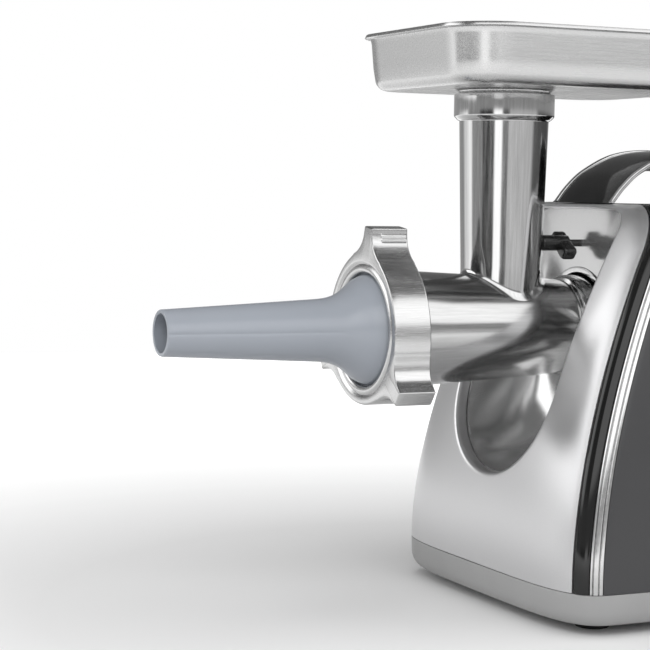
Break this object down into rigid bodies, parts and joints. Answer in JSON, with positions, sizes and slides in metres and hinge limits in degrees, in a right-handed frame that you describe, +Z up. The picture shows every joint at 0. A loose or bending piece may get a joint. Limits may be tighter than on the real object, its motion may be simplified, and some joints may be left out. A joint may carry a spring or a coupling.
{
  "type": "electric meat grinder",
  "caption": "Electric meat grinder set up with a sausage nozzle: metal head with feed tube and screw ring on a motor body with a handle, tray, pusher and push buttons.",
  "frame": {"origin": "centre of the base's footprint on the table, at the middle of the overall box", "axes": "+Z up, -Y the way the nozzle points, +X the side with the buttons"},
  "size_m": [0.197, 0.399, 0.313],
  "materials": {
    "cast_aluminium": "brushed",
    "satin_silver": "satin metallic",
    "polished_silver": "polished",
    "steel": "machined",
    "brass": "satin",
    "copper": "enamelled wire",
    "cast_zinc": "as cast",
    "black_gloss": "gloss",
    "black_plastic": "satin",
    "grey_plastic": "satin",
    "pale_grey_plastic": "satin",
    "nozzle_plastic": "smooth",
    "white_plastic": "satin",
    "rubber": "matte",
    "circuit_board": "solder mask",
    "carbon": "matte"
  },
  "bodies": {
    "machine": {"front_shell": "satin_silver", "hub_surround": "polished_silver", "socket_ring": "polished_silver", "body_band": "black_gloss", "trim_hoop": "polished_silver", "main_housing": "grey_plastic", "rear_cover": "grey_plastic", "base_pan": "pale_grey_plastic", "foot_front_left": "rubber", "foot_front_right": "rubber", "foot_rear_left": "rubber", "foot_rear_right": "rubber", "cord_gland": "black_plastic", "handle_body": "black_gloss", "handle_strip_left": "polished_silver", "handle_strip_right": "polished_silver", "control_bezel": "black_gloss", "start_switch": "black_plastic", "reverse_switch": "black_plastic", "gearbox_housing": "cast_zinc", "gearbox_cover": "cast_zinc", "output_front_bearing": "steel", "output_rear_bearing": "steel", "motor_can": "cast_zinc", "motor_stator": "steel", "field_coil_right": "copper", "field_coil_left": "copper", "motor_front_bearing": "steel", "motor_rear_bearing": "steel", "carbon_brush_right": "carbon", "carbon_brush_left": "carbon", "brush_holder_right": "brass", "brush_holder_left": "brass", "circuit_board": "circuit_board"},
    "head": {"grinder_head": "cast_aluminium", "head_bush": "white_plastic", "hole_plate": "steel"},
    "auger_set": {"auger": "cast_aluminium", "auger_coupling": "white_plastic", "coupling_screw": "steel", "cutting_knife": "steel"},
    "nozzle": {"sausage_nozzle": "nozzle_plastic"},
    "ring": {"screw_ring": "cast_aluminium"},
    "tray": {"feed_tray": "cast_aluminium"},
    "pusher": {"food_pusher": "grey_plastic"},
    "lock": {"lock_knob": "black_plastic", "lock_spindle": "black_plastic"},
    "start_key": {"start_button": "white_plastic"},
    "reverse_key": {"reverse_button": "grey_plastic"},
    "output_drive": {"output_shaft": "steel", "output_gear": "steel"},
    "second_stage": {"second_gear": "steel", "second_pinion_shaft": "steel"},
    "first_stage": {"first_gear": "white_plastic", "first_pinion_shaft": "steel"},
    "rotor": {"motor_shaft": "steel", "armature_core": "copper", "commutator": "brass", "cooling_fan": "white_plastic"}
  },
  "joints": [
    {"name": "head_pull", "type": "slide", "parent": "machine", "child": "head", "axis": [0, -1, 0], "range_m": [0, 0.06]},
    {"name": "auger_spin", "type": "hinge", "parent": "head", "child": "auger_set", "pos_m": [0, 0, 0.152], "axis": [0, -1, 0], "continuous": true},
    {"name": "nozzle_travel", "type": "slide", "parent": "head", "child": "nozzle", "axis": [0, -1, 0], "range_m": [0, 0.012]},
    {"name": "ring_turn", "type": "hinge", "parent": "nozzle", "child": "ring", "pos_m": [0, -0.077, 0.152], "axis": [0, -1, 0], "range_deg": [0, 1080]},
    {"name": "tray_lift", "type": "slide", "parent": "head", "child": "tray", "axis": [0, 0, 1], "range_m": [0, 0.04]},
    {"name": "pusher_lift", "type": "slide", "parent": "tray", "child": "pusher", "axis": [0, 0, 1], "range_m": [0, 0.06]},
    {"name": "lock_turn", "type": "hinge", "parent": "machine", "child": "lock", "pos_m": [0, 0.03, 0.198], "axis": [0, -1, 0], "range_deg": [0, 90]},
    {"name": "start_press", "type": "slide", "parent": "machine", "child": "start_key", "axis": [-0.9938, 0, -0.1108], "range_m": [0, 0.002], "stiffness_N_per_m": 600},
    {"name": "reverse_press", "type": "slide", "parent": "machine", "child": "reverse_key", "axis": [-0.9938, 0, -0.1108], "range_m": [0, 0.002], "stiffness_N_per_m": 600},
    {"name": "output_spin", "type": "hinge", "parent": "machine", "child": "output_drive", "pos_m": [0, 0.08, 0.152], "axis": [0, -1, 0], "continuous": true},
    {"name": "second_spin", "type": "hinge", "parent": "machine", "child": "second_stage", "pos_m": [0, 0.08, 0.102], "axis": [0, -1, 0], "continuous": true},
    {"name": "first_spin", "type": "hinge", "parent": "machine", "child": "first_stage", "pos_m": [0.038, 0.08, 0.08951], "axis": [0, -1, 0], "continuous": true},
    {"name": "rotor_spin", "type": "hinge", "parent": "machine", "child": "rotor", "pos_m": [0.01002, 0.08, 0.07063], "axis": [0, -1, 0], "continuous": true}
  ],
  "couplings": [
    {"joint": "nozzle_travel", "follows": "ring_turn", "m_per_rad": 0.00063662},
    {"joint": "output_spin", "follows": "auger_spin", "ratio": 1},
    {"joint": "second_spin", "follows": "auger_spin", "ratio": -3},
    {"joint": "first_spin", "follows": "auger_spin", "ratio": 9},
    {"joint": "rotor_spin", "follows": "auger_spin", "ratio": -36}
  ]
}
